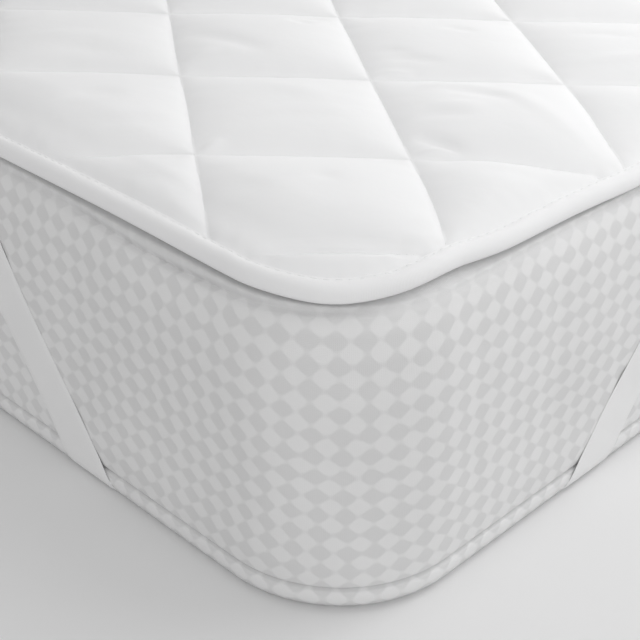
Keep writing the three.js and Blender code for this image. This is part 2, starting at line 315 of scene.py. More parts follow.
def drawn(points):
    """Points of the pad and its tape, with the edge drawn in and out unevenly."""
    moved = points.copy()
    x, y, _ = points.T
    inset = inset_at(x, y)
    near = np.flatnonzero(inset < PULL_FADE[1])
    pull = EDGE_SWAY * soft_noise(x[near] / EDGE_SWAY_LENGTH, y[near] / EDGE_SWAY_LENGTH, seed=17)
    for middle_x, middle_y, reach, distance in EDGE_PULLS:
        pull += distance * np.exp(-((x[near] - middle_x) ** 2 + (y[near] - middle_y) ** 2) / reach ** 2)
    pull *= 1 - smoothstep(inset[near], *PULL_FADE)
    moved[near, :2] -= outward_at(x[near], y[near]) * pull[:, None]
    moved[near, 2] += EDGE_SLOPE * pull
    return moved


# Materials

class Shader:
    """A Principled material with short ways to add nodes."""

    def __init__(self, name, roughness, sheen):
        self.material = bpy.data.materials.new(name)
        self.material.use_nodes = True
        self.nodes = self.material.node_tree.nodes
        self.links = self.material.node_tree.links
        self.surface = self.nodes["Principled BSDF"]
        self.surface.inputs["Roughness"].default_value = roughness
        self.surface.inputs["Specular IOR Level"].default_value = 0.25
        self.surface.inputs["Sheen Weight"].default_value = sheen
        self.surface.inputs["Sheen Roughness"].default_value = 0.45

    def add(self, kind, inputs, **settings):
        node = self.nodes.new(kind)
        for key, value in settings.items():
            setattr(node, key, value)
        for key, value in inputs.items():
            if isinstance(value, bpy.types.NodeSocket):
                self.links.new(value, node.inputs[key])
            else:
                node.inputs[key].default_value = value
        return node

    def math(self, operation, *values):
        return self.add("ShaderNodeMath", dict(enumerate(values)), operation=operation).outputs[0]

    def noise(self, place, scale, detail=2.0):
        inputs = {"Vector": place, "Scale": scale, "Detail": detail}
        return self.add("ShaderNodeTexNoise", inputs).outputs["Fac"]

    def span(self, value, low, high, to_low=0.0, to_high=1.0):
        inputs = dict(enumerate((value, low, high, to_low, to_high)))
        return self.add("ShaderNodeMapRange", inputs, interpolation_type="SMOOTHSTEP").outputs[0]

    def between(self, share, first, second):
        ramp = self.add("ShaderNodeValToRGB", {"Fac": share})
        ramp.color_ramp.elements[0].color = (*first, 1.0)
        ramp.color_ramp.elements[1].color = (*second, 1.0)
        return ramp.outputs["Color"]

    def place(self):
        return self.add("ShaderNodeTexCoord", {}).outputs["Object"]

    def parts(self, place):
        return self.add("ShaderNodeSeparateXYZ", {"Vector": place}).outputs

    def cloth_map(self, name):
        return self.parts(self.add("ShaderNodeUVMap", {}, uv_map=name).outputs["UV"])[:2]

    def ribs(self, distance, pitch):
        """Even ridges from 0 to 1 across a distance in metres, with their pitch in millimetres."""
        turn = self.math("MULTIPLY", distance, TAU / (pitch * MM))
        return self.math("MULTIPLY_ADD", self.math("SINE", turn), 0.5, 0.5)

    def bump(self, height, depth, strength, under=None):
        inputs = {"Height": height, "Distance": depth * MM, "Strength": strength}
        if under is not None:
            inputs["Normal"] = under
        return self.add("ShaderNodeBump", inputs).outputs["Normal"]

    def finish(self, colour, normal):
        self.links.new(colour, self.surface.inputs["Base Color"])
        self.links.new(normal, self.surface.inputs["Normal"])
        return self.material


def quilt_cloth():
    """Fine smooth microfibre: a plain weave, faint creases and a soft sheen."""
    shader = Shader("quilt_cloth", roughness=0.78, sheen=0.12)
    place = shader.place()
    across, along, _ = shader.parts(place)
    weave = shader.math("MULTIPLY", shader.ribs(across, 0.8), shader.ribs(along, 0.8))
    tone = shader.noise(place, 9.0)
    colour = shader.between(tone, (0.875, 0.877, 0.884), (0.925, 0.926, 0.93))
    normal = shader.bump(weave, 0.06, 0.35)
    normal = shader.bump(shader.noise(place, 55.0, 3.0), 1.1, 0.3, normal)
    return shader.finish(colour, normal)


def binding_tape():
    """Smooth tape with a fine cross rib."""
    shader = Shader("binding_tape", roughness=0.7, sheen=0.15)
    along, _ = shader.cloth_map("tape_map")
    tone = shader.noise(shader.place(), 24.0)
    colour = shader.between(tone, (0.9, 0.9, 0.906), (0.945, 0.945, 0.95))
    normal = shader.bump(shader.ribs(along, 0.9), 0.08, 0.4)
    normal = shader.bump(tone, 0.8, 0.3, normal)
    return shader.finish(colour, normal)


def elastic_web():
    """Woven elastic: ribs along it and fine picks across it."""
    shader = Shader("elastic_web", roughness=0.72, sheen=0.1)
    along, across = shader.cloth_map("strap_map")
    weave = shader.math("MULTIPLY_ADD", shader.ribs(along, 0.7), 0.35, shader.ribs(across, 1.6))
    tone = shader.noise(shader.place(), 30.0)
    colour = shader.between(tone, (0.86, 0.86, 0.863), (0.9, 0.9, 0.902))
    return shader.finish(colour, shader.bump(weave, 0.12, 0.45))


CHECK_COUNT = 371
CHECK_HEIGHT = 13.7
CHECK_LEAN = 0.06
CHECK_ROW_SHIFT = -0.17


def mattress_ticking(perimeter):
    """Knitted cover in a small harlequin check of two pale greys, its light diamonds a little raised, with
    painted shade under the tape, where the check fades to its darker grey.
    """
    shader = Shader("mattress_ticking", roughness=0.85, sheen=0.08)
    along, up = shader.cloth_map("cover_map")
    place = shader.place()
    height = shader.parts(place)[2]
    leaning = shader.math("MULTIPLY_ADD", up, CHECK_LEAN, along)
    columns = shader.math("COSINE", shader.math("MULTIPLY", leaning, TAU * CHECK_COUNT / (perimeter * MM)))
    turn = shader.math("MULTIPLY_ADD", up, TAU / (CHECK_HEIGHT * MM), TAU * CHECK_ROW_SHIFT)
    rows = shader.math("COSINE", turn)
    uneven = shader.span(shader.noise(place, 110.0), 0.3, 0.7, -0.25, 0.25)
    light = shader.span(shader.math("ADD", shader.math("ADD", columns, rows), uneven), -0.5, 0.5)
    # Painted shade under the bound edge: toward the top the light diamonds fade to the darker grey, and
    # their raised bump flattens there too.
    light = shader.math("MULTIPLY", light, shader.span(height, 0.198, 0.18, 0.25, 1.0))
    tone = shader.span(shader.noise(place, 14.0, 3.0), 0.3, 0.7, 0.0, 0.2)
    share = shader.math("MULTIPLY_ADD", light, 0.8, tone)
    colour = shader.between(share, (0.73, 0.73, 0.732), (0.85, 0.85, 0.852))
    knit = shader.math("MULTIPLY", shader.ribs(along, 1.1), shader.ribs(up, 0.9))
    normal = shader.bump(knit, 0.12, 0.5)
    normal = shader.bump(light, 0.3, 0.4, normal)
    return shader.finish(colour, normal)


def floor_paint():
    shader = Shader("floor_paint", roughness=0.6, sheen=0.0)
    place = shader.place()
    colour = shader.between(shader.noise(place, 2.5, 3.0), (0.82, 0.82, 0.822), (0.85, 0.85, 0.852))
    return shader.finish(colour, shader.bump(shader.noise(place, 240.0), 0.2, 0.2))


# Mattress

SECTION_STEP = 5.0
STATION_STEP = 8.0
SEAM_SPREADS = np.array([-4.5, -3.0, -2.0, -1.2, -0.6, 0.0, 0.6, 1.2, 2.0, 3.0, 4.5])
SHOULDER_SPREADS = np.arange(-28.0, 6.0, 1.1)
SECTION_EASING = 10

# The lower seam, and the hollow under the bound edge with the heights between which it comes and goes
LOWER_SEAM_DEPTH = 3.2
LOWER_SEAM_WIDTH = 1.0
UNDER_EDGE_DEPTH = 2.4
UNDER_EDGE_FROM = (192.5, 196.5)
UNDER_EDGE_TO = (202.0, 207.0)

# The top seam, which sags and gapes in one place on the front
TOP_SEAM_HEIGHT = 192.5
TOP_SEAM_WIDTH = 1.9
TOP_SEAM_DEPTH = 1.7
TOP_SEAM_RISE = 1.5
TOP_SEAM_DEEPENING = 0.65
TOP_SEAM_WAVE = 260.0
GAPE_PLACE = 430.0
GAPE_REACH = 80.0
GAPE_SAG = 5.0
GAPE_DEPTH = 4.5
SEAM_PUCKER = 0.25
SEAM_PUCKER_LENGTH = 14.0
SEAM_PUCKER_HEIGHT = 40.0

# Soft hollows and upright creases of the sides, and the heights between which they come and go
BELLY_FROM = (24.0, 60.0)
BELLY_TO = (150.0, 186.0)
HOLLOW_DEPTH = 0.7
HOLLOW_LENGTH = 200.0
HOLLOW_HEIGHT = 120.0
CREASE_COUNT = 78
CREASE_START = 6.0
CREASE_DEPTH = 0.77
CREASE_UNEVENNESS = 0.33
CREASE_PACE = 5.1
CREASE_WIDTH = 6.0
CREASE_SWAY = 2.5
CREASE_SWAY_HEIGHT = 45.0


def mattress_section():
    """The section in fine rows, closer together at the two seams."""
    distance = travelled(MATTRESS_SECTION)
    places = np.arange(0.0, distance[-1], SECTION_STEP)
    for row, spreads in ((SEAM_ROW, SEAM_SPREADS), (SHOULDER_ROW, SHOULDER_SPREADS)):
        fine = distance[row] + spreads
        places = np.concatenate([places[(places < fine[0]) | (places > fine[-1])], fine])
    places = np.sort(np.append(places, distance[-1]))
    return resampled(eased(evenly(MATTRESS_SECTION, 4 * len(places)), SECTION_EASING), places)


def top_seam(x, y):
    """Height and depth of the seam under the bound edge."""
    gape = np.exp(-((x - GAPE_PLACE) / GAPE_REACH) ** 2) * (y < 0)
    uneven = soft_noise(x / TOP_SEAM_WAVE, y / TOP_SEAM_WAVE, seed=11)
    height = TOP_SEAM_HEIGHT - GAPE_SAG * gape - TOP_SEAM_RISE * uneven
    depth = TOP_SEAM_DEPTH + GAPE_DEPTH * gape + TOP_SEAM_DEEPENING * uneven
    return height, depth


def between_seams(z):
    """1 at the middle heights of a side, and 0 by the seams below and above."""
    return smoothstep(z, *BELLY_FROM) * (1 - smoothstep(z, *BELLY_TO))


def broad_hollow(x, y, z):
    """How far the cover sinks in softly between its seams. The straps follow it."""
    upward = z / HOLLOW_HEIGHT + (x + y) / HOLLOW_LENGTH
    return HOLLOW_DEPTH * between_seams(z) * (1 + soft_noise((x - y) / HOLLOW_LENGTH, upward, seed=5))


def side_hollow(x, y, along, pitch, z):
    """How far the cover lies inside its plain section, in soft hollows, upright creases and seams."""
    hollow = broad_hollow(x, y, z)
    number = np.round((along - CREASE_START) / pitch)
    depth = CREASE_DEPTH + CREASE_UNEVENNESS * np.sin(number * CREASE_PACE)
    middle = CREASE_START + number * pitch + CREASE_SWAY * np.sin(z / CREASE_SWAY_HEIGHT + number)
    hollow += depth * between_seams(z) * np.exp(-((along - middle) / CREASE_WIDTH) ** 2)
    hollow += LOWER_SEAM_DEPTH * np.exp(-((z - LOWER_SEAM_HEIGHT) / LOWER_SEAM_WIDTH) ** 2)
    hollow += UNDER_EDGE_DEPTH * smoothstep(z, *UNDER_EDGE_FROM) * (1 - smoothstep(z, *UNDER_EDGE_TO))
    pucker = 1 + SEAM_PUCKER * soft_noise(along / SEAM_PUCKER_LENGTH, z / SEAM_PUCKER_HEIGHT, seed=8)
    seam_height, seam_depth = top_seam(x, y)
    hollow += seam_depth * pucker * np.exp(-((z - seam_height) / TOP_SEAM_WIDTH) ** 2)
    return hollow


def groove_cutter(sign_x, sign_y):
    """A bar across one corner, where the strap is pressed into the underside."""
    width = STRAP_WIDTH + 2 * GROOVE_CLEARANCE
    length = STRAP_CROSSING * math.sqrt(2) + 2 * width
    middle = (sign_x * (HALF_WIDTH - STRAP_CROSSING / 2), sign_y * (HALF_LENGTH - STRAP_CROSSING / 2), 0.0)
    turn = Matrix.Rotation(-sign_x * sign_y * TAU / 8, 4, "Z")
    size = Matrix.Diagonal((length * MM, width * MM, 2 * GROOVE_DEPTH * MM, 1.0))
    work = bmesh.new()
    bmesh.ops.create_cube(work, size=1.0, matrix=Matrix.Translation(Vector(middle) * MM) @ turn @ size)
    mesh = bpy.data.meshes.new("groove")
    work.to_mesh(mesh)
    work.free()
    cutter = bpy.data.objects.new("groove", mesh)
    bpy.context.scene.collection.objects.link(cutter)
    return cutter


def cut_away(piece, cutter):
    modifier = piece.modifiers.new("cut", "BOOLEAN")
    modifier.operation = "DIFFERENCE"
    modifier.solver = "EXACT"
    modifier.object = cutter
    bpy.context.view_layer.objects.active = piece
    bpy.ops.object.modifier_apply(modifier=modifier.name)
    bpy.data.objects.remove(cutter)


def build_mattress():
    outline = Outline(STATION_STEP)
    section = mattress_section()
    points = []
    for (inset, z), (turn, rise) in zip(section, line_normals(section)):
        plan = outline.at(inset)
        hollow = side_hollow(plan[:, 0], plan[:, 1], outline.along, outline.length / CREASE_COUNT, z)
        moved = plan - outline.normals * (hollow * turn)[:, None]
        points.append(np.column_stack([moved, np.maximum(z + hollow * rise, 0.0)]))
    rows = len(section)
    count = outline.count
    faces = grid_quads(rows, count, close_columns=True).tolist()
    faces.append(list(range(count)))
    faces.append(list(range((rows - 1) * count, rows * count)))
    material = mattress_ticking(outline.length)
    piece = new_piece("mattress_cover", np.concatenate(points), faces, material)
    cloth = np.stack(np.meshgrid(outline.along, travelled(section)), axis=-1).reshape(-1, 2)
    add_map(piece, "cover_map", cloth, outline.length)
    for signs in CORNERS.values():
        cut_away(piece, groove_cutter(*signs))
    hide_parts("mattress")


# Quilted pad

# Steps of the grid from a sewn line to the middle of a rhomb, and the rows of rhombs with the finer steps
FINE_HALF_STEPS = 19
PLAIN_HALF_STEPS = 10
FINE_U = (-2, 2)
FINE_V = (-1, 3)
SEAM_CLUSTER = 1.35
PAD_TOP_INSET = 24.5
SNAP_DISTANCE = 0.6

# The sewn lines, how far from the tape they begin and from them the creases, and their sideways wander
SEAM_DEPTH = 1.7
SEAM_SPREAD = 4.0
SEAM_START = 4.0
SEAM_CLEARANCE = 5.0
WOBBLE = 1.0
WOBBLE_LENGTH = 90.0
WOBBLE_START = 40.0

# The puffs, how their filling varies from rhomb to rhomb and over the pad, and the puckers by the sewn lines
PUFF_POWER = 2.8
FILL_CHANGE = 0.1
FILL_PACES = (4.0, 7.1)
FILL_DRIFT = 0.05
FILL_DRIFT_LENGTH = 220.0
PUCKER_HEIGHT = 0.4
PUCKER_LENGTH = 13.0
PUCKER_STRETCH = 5.0
PUCKER_REACH = 11.0

# The dip and the small ripples beside the tape, and the distances over which they begin and end
DIP_START = 8.0
RIPPLE_HEIGHT = 0.8
RIPPLE_LENGTH = 9.0
RIPPLE_START = 6.0
RIPPLE_REACH = 12.0

quilt_turn = np.array(Matrix.Rotation(QUILT_TURN, 2))
quilt_frame = quilt_turn @ np.array([[RHOMB_WIDTH, RHOMB_WIDTH], [RHOMB_LENGTH, -RHOMB_LENGTH]]) / 2
RHOMB_SIDE = np.linalg.norm(quilt_frame[:, 0])
LINE_SPACING = abs(np.linalg.det(quilt_frame)) / RHOMB_SIDE

# Soft creases by the near corner: start and end in quilting coordinates, half width, and height
PLACED_CREASES = [
    (0.15, 1.19, 0.58, 1.21, 6.0, 1.3),
    (0.52, 1.20, 0.80, 1.66, 8.0, 1.3),
    (0.74, 1.52, 0.86, 1.90, 8.0, 0.9),
    (0.30, 1.26, 0.66, 1.42, 5.5, -1.6),
    (0.17, 1.47, 0.47, 1.50, 5.0, 1.3),
    (0.10, 1.58, 0.40, 1.60, 5.0, -1.4),
    (0.05, 1.78, 0.25, 1.95, 5.0, -3.6),
    (0.02, 1.955, 0.22, 1.96, 4.0, 2.2),
    (-0.97, 0.45, -0.50, 0.78, 9.0, -2.2),
    (-0.97, 0.83, -0.76, 0.73, 5.5, 1.5),
    (-0.34, 0.22, -0.06, 0.12, 4.5, -1.8),
    (-0.34, 0.20, -0.20, 0.30, 4.5, -1.4),
    (-0.97, 2.00, -0.86, 1.88, 4.5, 1.7),
    (-0.93, 2.43, -0.69, 2.52, 8.0, -0.8),
    (-0.52, 2.35, -0.37, 2.40, 6.0, -1.0),
    (0.51, 0.30, 0.70, 0.38, 5.0, -1.4),
    (0.10, 0.76, 0.42, 0.83, 5.0, -1.8),
    (0.05, 0.65, 0.31, 0.72, 5.0, -1.1),
    (0.03, 0.945, 0.24, 0.96, 4.0, 1.6),
    (0.76, 0.94, 0.97, 0.955, 4.0, -1.8),
    (-0.92, 3.07, -0.10, 3.07, 5.0, 4.6),
    (-0.88, 3.14, -0.14, 3.14, 9.0, 2.0),
    (-0.92, 2.965, -0.10, 2.965, 4.5, -2.0),
    (1.10, 0.80, 1.80, 0.70, 7.0, 1.3),
    (1.15, 0.35, 1.60, 0.42, 6.0, -1.2),
]
CREASES_PER_RHOMB = 3
CREASE_BOW = 0.06


def past_last_line(v, share):
    """Changes the spacing beyond the last long line, where the near corner's short line lies."""
    beyond = np.maximum(v - CORNER_LINE_START, 0.0)
    return v + beyond * (share - 1)


def quilt_place(u, v):
    """Places in plan from quilting coordinates, in which whole numbers fall on the sewn lines."""
    return QUILT_CROSSING + np.stack([u, past_last_line(v, CORNER_LINE_SHARE)], axis=-1) @ quilt_frame.T


def quilt_coordinates(x, y):
    u, v = np.linalg.solve(quilt_frame, np.stack([x - QUILT_CROSSING[0], y - QUILT_CROSSING[1]]))
    return u, past_last_line(v, 1 / CORNER_LINE_SHARE)


def other_creases():
    """Soft creases for the other rhombs, mostly along one set of sewn lines."""
    rng = np.random.default_rng(23)
    placed = {(math.floor(row[0]), math.floor(row[1])) for row in PLACED_CREASES}
    creases = []
    for cell_u in RHOMBS_U:
        for cell_v in RHOMBS_V:
            for _ in range(CREASES_PER_RHOMB):
                start = cell_u + rng.uniform(0.05, 0.4)
                end = cell_u + rng.uniform(0.6, 0.95)
                level = cell_v + rng.uniform(0.15, 0.85)
                slope = rng.uniform(-0.12, 0.12)
                height = rng.uniform(0.5, 1.4) * rng.choice([-1, 1])
                width = rng.uniform(7.0, 12.0)
                if (cell_u, cell_v) not in placed:
                    creases.append((start, level - slope, end, level + slope, width, height))
    return creases


def crease_relief(x, y):
    relief = np.zeros_like(x)
    for u0, v0, u1, v1, width, height in PLACED_CREASES + other_creases():
        start = quilt_place(u0, v0)
        along = quilt_place(u1, v1) - start
        length = np.linalg.norm(along)
        along /= length
        middle = start + along * length / 2
        reach = length / 2 + 3 * width
        near = np.flatnonzero((np.abs(x - middle[0]) < reach) & (np.abs(y - middle[1]) < reach))
        from_start = np.stack([x[near] - start[0], y[near] - start[1]])
        share = np.clip(along @ from_start / length, 0.0, 1.0)
        bow = CREASE_BOW * length * np.sin(share * math.pi)
        aside = along[0] * from_start[1] - along[1] * from_start[0] - bow
        relief[near] += height * np.sin(share * math.pi) * np.exp(-(aside / width) ** 2)
    return relief


def pad_top(x, y):
    """Height of the pad's top: puffs between the sewn lines, thinning out to the band under the tape."""
    inset = inset_at(x, y)
    u, v = quilt_coordinates(x, y)
    from_u = np.abs(u - np.round(u)) * LINE_SPACING
    from_v = np.abs(v - np.round(v)) * LINE_SPACING
    across_u = 1 - np.abs(2 * (u - np.floor(u)) - 1) ** PUFF_POWER
    across_v = 1 - np.abs(2 * (v - np.floor(v)) - 1) ** PUFF_POWER
    fill = 1 + FILL_CHANGE * np.sin(FILL_PACES[0] * np.floor(u) + FILL_PACES[1] * np.floor(v))
    fill += FILL_DRIFT * soft_noise(x / FILL_DRIFT_LENGTH, y / FILL_DRIFT_LENGTH, seed=31)
    puff = PUFF_HEIGHT * fill * across_u * across_v
    seam = SEAM_DEPTH * np.maximum(np.exp(-from_u / SEAM_SPREAD), np.exp(-from_v / SEAM_SPREAD))
    run_u = u * RHOMB_SIDE / PUCKER_LENGTH
    run_v = v * RHOMB_SIDE / PUCKER_LENGTH
    pucker = soft_noise(run_v, run_u / PUCKER_STRETCH, seed=41) * np.exp(-from_u / PUCKER_REACH)
    pucker += soft_noise(run_u, run_v / PUCKER_STRETCH, seed=43) * np.exp(-from_v / PUCKER_REACH)
    off_seam = smoothstep(np.minimum(from_u, from_v), 0, SEAM_CLEARANCE)
    past_tape = inset - PUFF_START_INSET
    rise = 1 - np.clip(1 - past_tape / PUFF_RISE, 0.0, 1.0) ** PUFF_EDGE_POWER
    filled = smoothstep(inset, PAD_BAND_INSET, TOP_INSET)
    dip = BAND_DIP * smoothstep(past_tape, 0, DIP_START) * (1 - filled)
    flat = EDGE_THICKNESS + (SEAM_THICKNESS - EDGE_THICKNESS) * filled - dip
    relief = puff + (PUCKER_HEIGHT * pucker + crease_relief(x, y)) * off_seam
    sewn = seam * smoothstep(past_tape, 0, SEAM_START)
    by_tape = smoothstep(past_tape, 0, RIPPLE_START) * np.exp(-past_tape / RIPPLE_REACH)
    ripple = RIPPLE_HEIGHT * by_tape * soft_noise(x / RIPPLE_LENGTH, y / RIPPLE_LENGTH, seed=47)
    return pad_underside(inset) + flat + relief * rise - sewn + ripple


def wandered(x, y):
    """Places in plan after a small sideways wander of the sewn lines, with none at the edge."""
    inside = WOBBLE * smoothstep(inset_at(x, y), PAD_BAND_INSET, PAD_BAND_INSET + WOBBLE_START)
    across, along = x / WOBBLE_LENGTH, y / WOBBLE_LENGTH
    return x + inside * soft_noise(across, along, seed=51), y + inside * soft_noise(across, along, seed=53)


def quilt_lines(cells, fine):
    """Places of the grid's lines in quilting coordinates, closer together at sewn lines and in fine rows."""
    lines = []
    for cell in cells:
        half_steps = FINE_HALF_STEPS if fine[0] <= cell < fine[1] else PLAIN_HALF_STEPS
        half = 0.5 * (np.arange(half_steps + 1) / half_steps) ** SEAM_CLUSTER
        lines.append(cell + np.concatenate([half[:-1], 1 - half[:0:-1]]))
    return np.concatenate(lines)


def quilted_plan():
    """The top in plan: a fine grid along the sewn lines, ending on a line under the tape."""
    u_lines = quilt_lines(RHOMBS_U, FINE_U)
    v_lines = quilt_lines(RHOMBS_V, FINE_V)
    plan = quilt_place(*np.meshgrid(u_lines, v_lines, indexing="ij")).reshape(-1, 2)
    spare = inset_at(plan[:, 0], plan[:, 1]) - PAD_TOP_INSET
    quads = grid_quads(len(u_lines), len(v_lines))
    quads = quads[(spare[quads] > SNAP_DISTANCE).any(axis=1)]
    used, numbers = np.unique(quads, return_inverse=True)
    plan = plan[used]
    spare = spare[used]
    edge = spare <= SNAP_DISTANCE
    plan[edge] += outward_at(plan[edge, 0], plan[edge, 1]) * spare[edge, None]
    return plan, numbers.reshape(-1, 4)


def boundary_ring(quads, count):
    """The outer edge of a patch of quads, as one ring of point numbers."""
    starts = quads.ravel()
    ends = np.roll(quads, -1, axis=1).ravel()
    single = ~np.isin(starts * count + ends, ends * count + starts)
    following = dict(zip(starts[single].tolist(), ends[single].tolist()))
    ring = [next(iter(following))]
    while following[ring[-1]] != ring[0]:
        ring.append(following[ring[-1]])
    return ring


def build_pad(material):
    plan, quads = quilted_plan()
    ring = boundary_ring(quads, len(plan))
    ring_plan = plan[ring]
    outward = outward_at(*ring_plan.T)
    top = np.column_stack([*wandered(*plan.T), pad_top(*plan.T)])
    points = [top]
    faces = quads.tolist()
    previous = np.array(ring)
    start = len(plan)
    edge_top = pad_underside(PAD_EDGE_INSET) + EDGE_THICKNESS
    under_insets = [PAD_EDGE_INSET, PAD_BAND_INSET, CROWN_INSET, TOP_INSET]
    rims = [(PAD_EDGE_INSET, edge_top)] + [(inset, pad_underside(inset)) for inset in under_insets]
    for inset, z in rims:
        rim = ring_plan + outward * (PAD_TOP_INSET - inset)
        points.append(np.column_stack([rim, np.full(len(rim), z)]))
        numbers = np.arange(start, start + len(rim))
        around = np.stack([previous, np.roll(previous, -1), np.roll(numbers, -1), numbers], axis=1)
        faces += around.tolist()
        previous = numbers
        start += len(rim)
    faces.append(previous.tolist())
    piece = new_piece("quilted_pad_cloth", drawn(np.concatenate(points)), faces, material)
    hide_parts("quilted_pad")


STITCH_PITCH = 4.4
STITCH_LENGTH = 3.4
STITCH_RADIUS = 0.24
STITCH_CLEAR_INSET = 29.0


def build_quilting_stitches(material):
    """Threads along every sewn line, lying in the valleys of the pad."""
    half = STITCH_LENGTH / RHOMB_SIDE / 2
    starts = []
    ends = []
    for across, along, order in ((RHOMBS_U, RHOMBS_V, 1), (RHOMBS_V, RHOMBS_U, -1)):
        run = np.arange(along[0], along[-1], STITCH_PITCH / RHOMB_SIDE)
        line, place = (grid.ravel() for grid in np.meshgrid(across.astype(float), run))
        starts.append(quilt_place(*(line, place - half)[::order]))
        ends.append(quilt_place(*(line, place + half)[::order]))
    starts = np.concatenate(starts)
    ends = np.concatenate(ends)
    nearest = np.minimum(inset_at(*starts.T), inset_at(*ends.T))
    kept = nearest > STITCH_CLEAR_INSET
    rows = [drawn(np.column_stack([*wandered(*p[kept].T), pad_top(*p[kept].T)])) for p in (starts, ends)]
    points, faces = stitches(*rows, STITCH_RADIUS)
    new_piece("quilting_stitches", points, faces, material)


# Binding tape

TAPE_THICKNESS = 1.2
TAPE_GAP = 0.3
TAPE_SEAM = 5.7
TAPE_STEP = 4.5
TAPE_LINE_POINTS = 24
TAPE_EASING = 2

# The tape's middle line over the pad's edge: distance in, and rise from lying flat on it
TAPE_OVER = [(7.2, -0.2), (TAPE_SEAM, -0.3), (4.6, 1.5), (3.0, 2.9), (1.0, 3.3)]

# The same line round the edge: distance in, and height from the edge's middle
TAPE_ROUND = [(-0.8, 4.5), (-1.9, 2.0), (-2.2, -0.8), (-1.4, -3.8)]

# The same line under the edge: distance in, and drop from lying flat against it
TAPE_UNDER = [(1.0, 0.6), (7.0, 0.0)]

# Uneven rise of the tape's top (height, length along it, width across it and seed), its sway, and stitches
TAPE_RIPPLES = [(0.3, 10.0, 9.0, 61), (0.2, 60.0, 20.0, 63)]
TAPE_RIPPLE_START = 4.0
TAPE_SWAY = 0.5
TAPE_SWAY_LENGTH = 45.0
TAPE_STITCH_PITCH = 7.5
TAPE_STITCH_LENGTH = 5.2
TAPE_STITCH_RADIUS = 0.4


def tape_line():
    """The folded tape's middle line, from its sewn edge to its hidden one: distance in, and height."""
    lift = TAPE_GAP + TAPE_THICKNESS / 2

    def under(distance):
        return pad_underside(PAD_EDGE_INSET + distance)

    middle = under(0.0) + (EDGE_THICKNESS + lift) / 2
    line = [(distance, under(distance) + EDGE_THICKNESS + lift + rise) for distance, rise in TAPE_OVER]
    line += [(distance, middle + height) for distance, height in TAPE_ROUND]
    line += [(distance, under(distance) - lift - drop) for distance, drop in TAPE_UNDER]
    return eased(evenly(np.array(line), TAPE_LINE_POINTS), TAPE_EASING)


def tape_lift(along, distance):
    """How far the tape's top stands up unevenly, between its stitches and in soft ripples."""
    return sum(height * soft_noise(along / length, distance / width, seed)
               for height, length, width, seed in TAPE_RIPPLES)


def build_binding(material, thread):
    outline = Outline(TAPE_STEP)
    line = tape_line()
    offset = line_normals(line) * TAPE_THICKNESS / 2
    section = np.concatenate([line + offset, (line - offset)[::-1]])
    distance = travelled(line)
    across = np.concatenate([distance, distance[::-1]])
    above_edge = section[:, 1] > pad_underside(PAD_EDGE_INSET) + EDGE_THICKNESS
    top = smoothstep(section[:, 0], 0.0, TAPE_RIPPLE_START) * above_edge
    sway = TAPE_SWAY * soft_noise(outline.along / TAPE_SWAY_LENGTH, 0.0, seed=67)
    points = []
    for (inward, z), share in zip(section, top):
        plan = outline.at(PAD_EDGE_INSET + inward + sway * share)
        points.append(np.column_stack([plan, z + share * tape_lift(outline.along, inward)]))
    faces = grid_quads(len(section), outline.count, close_rows=True, close_columns=True).tolist()
    piece = new_piece("edge_binding_tape", drawn(np.concatenate(points)), faces, material)
    cloth = np.stack(np.meshgrid(outline.along, across), axis=-1).reshape(-1, 2)
    add_map(piece, "tape_map", cloth, outline.length)
    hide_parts("edge_binding")
    threads = build_binding_stitches(line, thread)


def build_binding_stitches(line, material):
    """A row of stitches along the tape's inner edge."""
    track = Outline(TAPE_STITCH_PITCH)
    over = line[:TAPE_LINE_POINTS // 2]
    height = np.interp(-TAPE_SEAM, -over[:, 0], over[:, 1]) + TAPE_THICKNESS / 2
    plan = track.at(PAD_EDGE_INSET + TAPE_SEAM)
    along = np.column_stack([-track.normals[:, 1], track.normals[:, 0]]) * TAPE_STITCH_LENGTH / 2
    lift = height + tape_lift(track.along, TAPE_SEAM)
    starts = drawn(np.column_stack([plan - along, lift]))
    ends = drawn(np.column_stack([plan + along, lift]))
    points, faces = stitches(starts, ends, TAPE_STITCH_RADIUS)
    return new_piece("binding_stitches", points, faces, material)


# Elastic straps

STRAP_STEP = 4.0
STRAP_COLUMNS = 17
UNDER_ROWS = 48
STRAP_SHIFT_RISE = 18.0
STRAP_EDGE_DROP = 0.7
STRAP_EDGE_POWER = 10


def strap_route():
    """One strap's way down a side, from its end under the tape to the groove: distance in, and height."""
    base, base_edge = MATTRESS_SECTION[:2]
    lip = np.interp(GROOVE_DEPTH, [base[1], base_edge[1]], [base[0], base_edge[0]])
    rows = [SHOULDER_ROW - i for i in range(SHOULDER_ROW) if SHOULDER_ROW - i != SEAM_ROW]
    route = np.vstack([
        (STRAP_TUCK_INSET, mattress_height(STRAP_TUCK_INSET)),
        MATTRESS_SECTION[rows],
        (lip, GROOVE_DEPTH),
        (GROOVE_INNER_INSET, GROOVE_DEPTH),
    ])
    return eased(evenly(route, round(travelled(route)[-1] / STRAP_STEP) + 1), 1)


